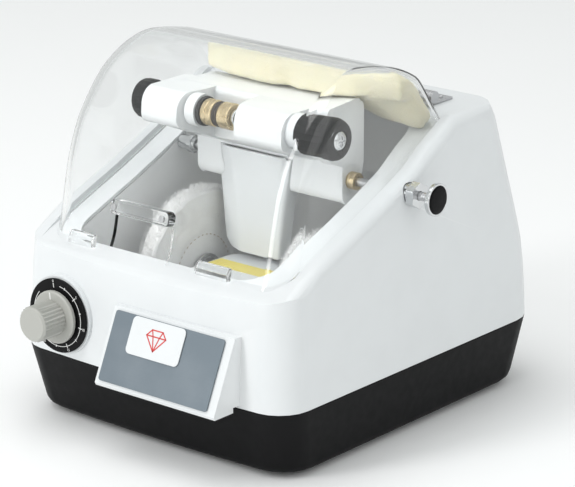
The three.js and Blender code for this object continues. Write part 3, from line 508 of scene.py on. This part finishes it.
def build_fluff(side_name, middle, radius):
    """Loose fibres, longest round the rim."""
    rng = random.Random(f"fluff {side_name}")
    mesh = bmesh.new()
    for _ in range(FIBRES):
        rim = rng.random() < RIM_SHARE
        a = rng.uniform(0, 2 * math.pi)
        if rim:
            d, r = rng.uniform(-6.2, 6.2), radius - 1.2
            reach = Vector((rng.uniform(-0.5, 0.5), 1.0, rng.uniform(-0.8, 0.8)))
            length = rng.uniform(2.4, 5.2)
        else:
            r = radius * math.sqrt(rng.uniform(0.06, 0.9))
            d = math.copysign(5.4, rng.random() - 0.5)
            reach = Vector((math.copysign(0.45, d), 0.9, rng.uniform(-0.8, 0.8)))
            length = rng.uniform(1.4, 3.2)
        radial = Vector((0, math.cos(a), math.sin(a)))
        around = Vector((0, -math.sin(a), math.cos(a)))
        root = Vector((middle + d, 0, 0)) + radial * r
        aim = (Vector((1, 0, 0)) * reach.x + radial * reach.y + around * reach.z).normalized()
        bend = (around * rng.uniform(-1, 1) + Vector((rng.uniform(-1, 1), 0, 0))) * 0.35
        across = aim.cross(bend).normalized() * FIBRE_HALF
        mid = root + aim * length * 0.55 + bend * 0.5
        tip = root + aim * length + bend * 1.6
        points = [root - across, root + across, mid + across * 0.8, mid - across * 0.8, tip]
        v = [mesh.verts.new(p * MM + AXLE) for p in points]
        mesh.faces.new((v[0], v[1], v[2], v[3]))
        mesh.faces.new((v[3], v[2], v[4]))
    piece(f"wheel_{side_name}_fluff", mesh, "arbor", "cotton", "cotton")


def tube(mesh, points, radius):
    """A thin tube through points, for thread."""
    sides = 5
    rows = []
    for i, p in enumerate(points):
        before, after = points[max(i - 1, 0)], points[min(i + 1, len(points) - 1)]
        along = (after - before).normalized()
        side = along.orthogonal().normalized()
        up = along.cross(side)
        rows.append([mesh.verts.new(p + (side * math.cos(t) + up * math.sin(t)) * radius)
                     for t in (2 * math.pi * k / sides for k in range(sides))])
    grid_faces(mesh, rows, closed=True)
    mesh.faces.new(list(reversed(rows[0])))
    mesh.faces.new(rows[-1])


def build_stitches(side_name, middle, radius):
    """Rings of separate stitches on both faces, sunk at their ends."""
    mesh = bmesh.new()
    for ring in STITCH_RINGS:
        r = radius * ring
        count = int(2 * math.pi * r / STITCH_PITCH)
        sweep = 2 * math.pi / count * STITCH_SHARE
        for face in (-1, 1):
            for i in range(count):
                start = 2 * math.pi * i / count
                points = []
                for k in range(5):
                    a = start + sweep * k / 4
                    lift = 0.55 * math.sin(math.pi * k / 4) - 0.35
                    depth = face * (WHEEL_HALF - 1.5 + lift)
                    place = Vector((middle + depth, r * math.cos(a), r * math.sin(a)))
                    points.append(place * MM + AXLE)
                tube(mesh, points, THREAD * MM)
    piece(f"wheel_{side_name}_stitches", mesh, "arbor", "cotton", "thread")


for wheel in WHEELS:
    build_wheel(*wheel)


# ---------------------------------------------------------------- foam pad
PAD_VOXEL, PAD_SWELL, CLOTH_FRAMES = 4.2, 3.5, 20  # the swell is the most that a point may move


def swell_as_cloth(obj):
    """Inflates the mesh under pressure and keeps the result."""
    cloth = obj.modifiers.new("cloth", "CLOTH")
    cloth.settings.quality = 5
    cloth.settings.mass = 0.3
    cloth.settings.use_pressure = True
    cloth.settings.uniform_pressure_force = 4
    cloth.settings.tension_stiffness = 15
    cloth.settings.effector_weights.gravity = 0
    for i in range(1, CLOTH_FRAMES + 1):
        bpy.context.scene.frame_set(i)
    evaluated(obj)
    bpy.context.scene.frame_set(1)


def build_pad():
    """The pad swells a little where it is free, and stays flat where the hood holds it."""
    mesh = bmesh.new()
    mesh.from_mesh(NODES["hood_pad"].data)
    bmesh.ops.remove_doubles(mesh, verts=mesh.verts, dist=WELD)
    obj = piece("hood_pad_foam", mesh, "hood", "foam", "foam")
    remesh = obj.modifiers.new("remesh", "REMESH")
    remesh.mode = "VOXEL"
    remesh.voxel_size = PAD_VOXEL * MM
    smooth = obj.modifiers.new("smooth", "SMOOTH")
    smooth.iterations = 4
    smooth.factor = 0.5
    evaluated(obj)
    start = [v.co.copy() for v in obj.data.vertices]
    normals = [v.normal.copy() for v in obj.data.vertices]
    swell_as_cloth(obj)
    free = [min(max(0.55 - n.z * 0.9 - n.y * 0.2, 0.0), 1.0) for n in normals]
    for v, rest, normal, loose in zip(obj.data.vertices, start, normals, free):
        swell = v.co - rest
        swell *= min(1.0, PAD_SWELL * MM / max(swell.length, 1e-9)) * loose
        crease = math.exp(-((rest.x - 0.012 + (rest.y + 0.004) * 0.5) / 0.004) ** 2) * loose
        wrinkle = noise.noise(rest * 55) * 0.0012 + noise.noise(rest * 140) * 0.0005
        v.co = rest + swell + normal * (wrinkle * loose - 0.0016 * crease - 0.0002)
    for polygon in obj.data.polygons:
        polygon.use_smooth = True  # the remesh made new faces
    finer = obj.modifiers.new("finer", "SUBSURF")
    finer.levels = finer.render_levels = 1
    paint(obj, "foam")
    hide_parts("hood_pad")


build_pad()


# ---------------------------------------------------------------- prints and small parts
DIAL_X, DIAL_Z, DIAL_FACE, KNOB_FACE = -75, 74.6, -145.6, -150.15  # the faces are y
DIAL_ZERO, DIAL_SWEEP = -8, 275  # degrees, clockwise from the top
DIAL_TICKS, DIAL_STEP = 10, 5  # spaces between ticks, and what each long one adds
NUMBER_RADIUS, NUMBER_SIZE = 24.3, 2.6
DECK, REAR_FACE = 208.8, 145.6


def slab(mesh, corners, thickness, matrix):
    """A flat polygon in the XY plane of matrix, thickened along its Z."""
    low = [mesh.verts.new(matrix @ Vector((x, y, 0)) * MM) for x, y in corners]
    high = [mesh.verts.new(matrix @ Vector((x, y, thickness)) * MM) for x, y in corners]
    mesh.faces.new(list(reversed(low)))
    mesh.faces.new(high)
    grid_faces(mesh, [low, high], closed=True)


def upright(x, y, z):
    """Plane facing the front, +X right and +Z up, in millimetres."""
    return Matrix.Translation((x, y, z)) @ Matrix.Rotation(math.radians(90), 4, "X")


def build_dial_marks():
    """An open ring on the dial, and long and short ticks across it."""
    face = upright(DIAL_X, DIAL_FACE, DIAL_Z)
    mesh = bmesh.new()
    steps = 96
    inner, outer = 21.3, 21.75
    for i in range(4, steps - 11):
        a, b = (math.radians(DIAL_ZERO + 360 * k / steps) for k in (i, i + 1))
        arc = [(r * math.sin(t), r * math.cos(t))
               for r, t in ((inner, a), (outer, a), (outer, b), (inner, b))]
        slab(mesh, arc, 0.12, face)
    for i in range(DIAL_TICKS + 1):
        r0, r1, half = (20.9, 22.6, 0.28) if i % 2 else (19.8, 22.9, 0.3)
        angle = DIAL_ZERO + DIAL_SWEEP / DIAL_TICKS * i
        turned = face @ Matrix.Rotation(-math.radians(angle), 4, "Z")
        slab(mesh, [(-half, r0), (half, r0), (half, r1), (-half, r1)], 0.13, turned)
    piece("dial_marks", mesh, "housing", "black", "ink_white", smooth=False)


def build_dial_numbers():
    """A number outside each long tick."""
    count = DIAL_TICKS // 2
    for i in range(count + 1):
        text = bpy.data.curves.new(f"dial_number_{i}", "FONT")
        text.body = str(DIAL_STEP * i)
        text.size = NUMBER_SIZE * MM
        text.align_x, text.align_y = "CENTER", "CENTER"
        text.extrude = 0.05 * MM
        obj = bpy.data.objects.new(f"dial_number_{i}", text)
        a = math.radians(DIAL_ZERO + DIAL_SWEEP / count * i)
        place = Vector((DIAL_X + NUMBER_RADIUS * math.sin(a), DIAL_FACE - 0.06,
                        DIAL_Z + NUMBER_RADIUS * math.cos(a)))
        upright_turn = Matrix.Rotation(math.radians(90), 4, "X")
        obj.matrix_world = Matrix.Translation(place * MM) @ upright_turn
        bpy.context.scene.collection.objects.link(obj)
        obj.data.materials.append(MATERIALS["ink_white"].mat)
        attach(obj, "housing")


def build_knob_pointer():
    """The white line on the timer knob's skirt, at the dial's zero."""
    mesh = bmesh.new()
    turn = Matrix.Rotation(math.radians(-DIAL_ZERO), 4, "Z")
    face = upright(DIAL_X, KNOB_FACE, DIAL_Z) @ turn
    slab(mesh, [(-0.55, 12.6), (0.55, 12.6), (0.55, 17.4), (-0.55, 17.4)], 0.15, face)
    piece("knob_pointer", mesh, "timer", "grey", "ink_white", smooth=False)


def node_plane(name):
    """Front face of a tilted node, in millimetres: X across, Y up the face, Z out of it."""
    polygon = max(NODES[name].data.polygons, key=lambda p: p.area * max(-p.normal.y, 0))
    low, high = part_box(name)
    normal = polygon.normal.copy()
    across = Vector((1, 0, 0))
    up = normal.cross(across).normalized()
    centre = (low + high) / 2
    centre += normal * (polygon.center - centre).dot(normal)
    turn = Matrix((across, up, normal)).transposed().to_4x4()
    return Matrix.Translation(centre / MM) @ turn


def build_badge_gem():
    """A plain outline of a faceted stone."""
    plane = node_plane("nameplate_badge")
    mesh = bmesh.new()
    points = [(-4.6, 6.6), (4.6, 6.6), (8.4, 2.4), (0, -7.2), (-8.4, 2.4)]
    lines = [(points[i], points[(i + 1) % 5]) for i in range(5)]
    lines += [((-8.4, 2.4), (8.4, 2.4)), ((-4.6, 6.6), (-2.8, 2.4)), ((4.6, 6.6), (2.8, 2.4)),
              ((-2.8, 2.4), (0, -7.2)), ((2.8, 2.4), (0, -7.2))]
    for a, b in lines:
        a, b = Vector(a), Vector(b)
        along = (b - a).normalized()
        side = Vector((-along.y, along.x)) * 0.42
        a, b = a - along * 0.3, b + along * 0.3
        slab(mesh, [a - side, b - side, b + side, a + side], 0.14, plane)
    piece("badge_gem", mesh, "housing", "white", "ink_red", smooth=False)


def rounded_corners(x0, y0, x1, y1, r):
    """Outline of a rectangle with round corners, anticlockwise."""
    steps = 6
    corners = ((x1 - r, y1 - r, 0), (x0 + r, y1 - r, 90),
               (x0 + r, y0 + r, 180), (x1 - r, y0 + r, 270))
    points = []
    for cx, cy, turn in corners:
        for i in range(steps + 1):
            a = math.radians(turn + 90 * i / steps)
            points.append((cx + r * math.cos(a), cy + r * math.sin(a)))
    return points


def build_label():
    """A blank yellow sticker on top of the motor's hump."""
    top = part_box("motor_cover")[1].z / MM
    mesh = bmesh.new()
    place = Matrix.Translation((0, 0, top + 0.02))
    slab(mesh, rounded_corners(-29, -44, 21, -29, 2), 0.25, place)
    piece("hump_label", mesh, "housing", "white", "label", smooth=False)


def build_screw(name, body, place, axis, radius):
    """A domed screw head with a cross recess, standing on place along axis."""
    mesh = bmesh.new()
    turn = Vector((0, 0, 1)).rotation_difference(Vector(axis)).to_matrix().to_4x4()
    matrix = Matrix.Translation(place) @ turn
    count = 24
    quarter = count // 4
    rows = []
    for r, z in ((1.0, -0.1), (1.0, 0.18), (0.9, 0.36), (0.68, 0.5), (0.4, 0.57), (0.14, 0.6)):
        ring = []
        for k in range(count):
            a = 2 * math.pi * k / count
            point = Vector((r * radius * math.cos(a), r * radius * math.sin(a), z * radius))
            ring.append(mesh.verts.new(matrix @ point * MM))
        rows.append(ring)
    for row, deep, reach in ((rows[-1], 0.4, 0), (rows[-2], 0.28, 1), (rows[-3], 0.16, 0)):
        for k, vert in enumerate(row):
            if min(k % quarter, quarter - k % quarter) <= reach:
                vert.co -= turn @ Vector((0, 0, deep * radius * MM))
    grid_faces(mesh, rows, closed=True)
    mesh.faces.new(rows[-1])
    mesh.faces.new(list(reversed(rows[0])))
    bmesh.ops.recalc_face_normals(mesh, faces=mesh.faces)
    piece(name, mesh, body, "steel", "steel")


def build_screws():
    """Three in each hinge leaf on the deck, one under the right head, two beside the inlet."""
    for side, x in (("left", -68), ("right", 68)):
        for i, dx in enumerate((-12, 0, 12)):
            place = (x + dx, 73.5, DECK)
            build_screw(f"hinge_screw_{side}_{i}", "housing", place, (0, 0, 1), 2.2)
    build_screw("head_screw", "arm", (44, -42, 192.6), (0, -0.35, -1), 2.6)
    for i, x in enumerate((-62, -34)):
        build_screw(f"inlet_screw_{i}", "housing", (x, REAR_FACE - 2.4, 68), (0, 1, 0), 1.6)


def build_inlet_pins():
    """Three flat pins standing in the rear power inlet."""
    mesh = bmesh.new()
    for x, z in ((-53, 66), (-43, 66), (-48, 72)):
        face = Matrix.Translation((x, 126, z)) @ Matrix.Rotation(math.radians(-90), 4, "X")
        slab(mesh, [(-1, -2), (1, -2), (1, 2), (-1, 2)], 16, face)
    piece("inlet_pins", mesh, "housing", "black", "brass", smooth=False)


build_dial_marks()
build_dial_numbers()
build_knob_pointer()
build_badge_gem()
build_label()
build_screws()
build_inlet_pins()


# ---------------------------------------------------------------- stage
def build_stage():
    """A paper sheet under the feet that curves up behind the object."""
    steps, flat_share, curve_share = 24, 0.7, 0.3
    front, flat, curve, floor_z = -3.0, 5.2, 1.4, -0.0041
    mesh = bmesh.new()
    rows = []
    for i in range(steps + 1):
        t = i / steps
        a = max(t - flat_share, 0.0) / curve_share * math.pi / 2
        y = front + flat * min(t / flat_share, 1.0) + math.sin(a) * curve
        z = floor_z + curve * (1 - math.cos(a))
        rows.append([mesh.verts.new((x, y, z)) for x in (-5, 0, 5)])
    grid_faces(mesh, rows)
    bmesh.ops.recalc_face_normals(mesh, faces=mesh.faces)
    data = bpy.data.meshes.new("floor")
    mesh.to_mesh(data)
    mesh.free()
    floor = bpy.data.objects.new("floor", data)
    bpy.context.scene.collection.objects.link(floor)
    for polygon in data.polygons:
        polygon.use_smooth = True
    paper = Surface("paper_floor", (0.97, 0.97, 0.97), 0.9)
    paper.roughen(paper.noise(12), 0.05)
    data.materials.append(paper.mat)


def add_light(name, place, target, size, power):
    """A rectangular softbox at place, facing target."""
    data = bpy.data.lights.new(name, "AREA")
    data.shape = "RECTANGLE"
    data.size, data.size_y = size
    data.energy = power
    lamp = bpy.data.objects.new(name, data)
    lamp.location = place
    aim = Vector(target) - Vector(place)
    lamp.rotation_mode = "QUATERNION"
    lamp.rotation_quaternion = aim.to_track_quat("-Z", "Y")
    bpy.context.scene.collection.objects.link(lamp)


def build_lights():
    world = bpy.data.worlds.new("studio")
    bpy.context.scene.world = world
    world.use_nodes = True
    sky = world.node_tree.nodes["Background"].inputs
    sky["Color"].default_value = (0.97, 1.0, 0.995, 1)
    sky["Strength"].default_value = 0.68
    add_light("key", (-0.62, -1.85, 1.05), (0, 0, 0.12), (0.5, 2.0), 17)
    add_light("side", (1.9, -0.3, 1.2), (0, 0, 0.12), (1.3, 1.6), 4)
    add_light("top", (-0.2, -0.35, 2.1), (0, 0, 0.1), (1.6, 1.3), 12)
    view = bpy.context.scene.view_settings
    view.view_transform = "Standard"
    view.look = "None"


def build_camera():
    """A long lens that looks down at the front, from the right; the axes are unit vectors."""
    data = bpy.data.cameras.new("camera")
    data.sensor_width = 36
    data.lens = 181.74
    data.clip_start, data.clip_end = 0.1, 30
    camera = bpy.data.objects.new("camera", data)
    right = (0.76864, 0.63969, 0)
    up = (-0.19474, 0.23399, 0.95254)
    back = (0.60933, -0.73215, 0.30445)
    turn = Matrix((right, up, back)).transposed().to_4x4()
    camera.matrix_world = Matrix.Translation((1.22785, -1.46848, 0.71714)) @ turn
    bpy.context.scene.collection.objects.link(camera)
    bpy.context.scene.camera = camera


build_stage()
build_lights()
build_camera()
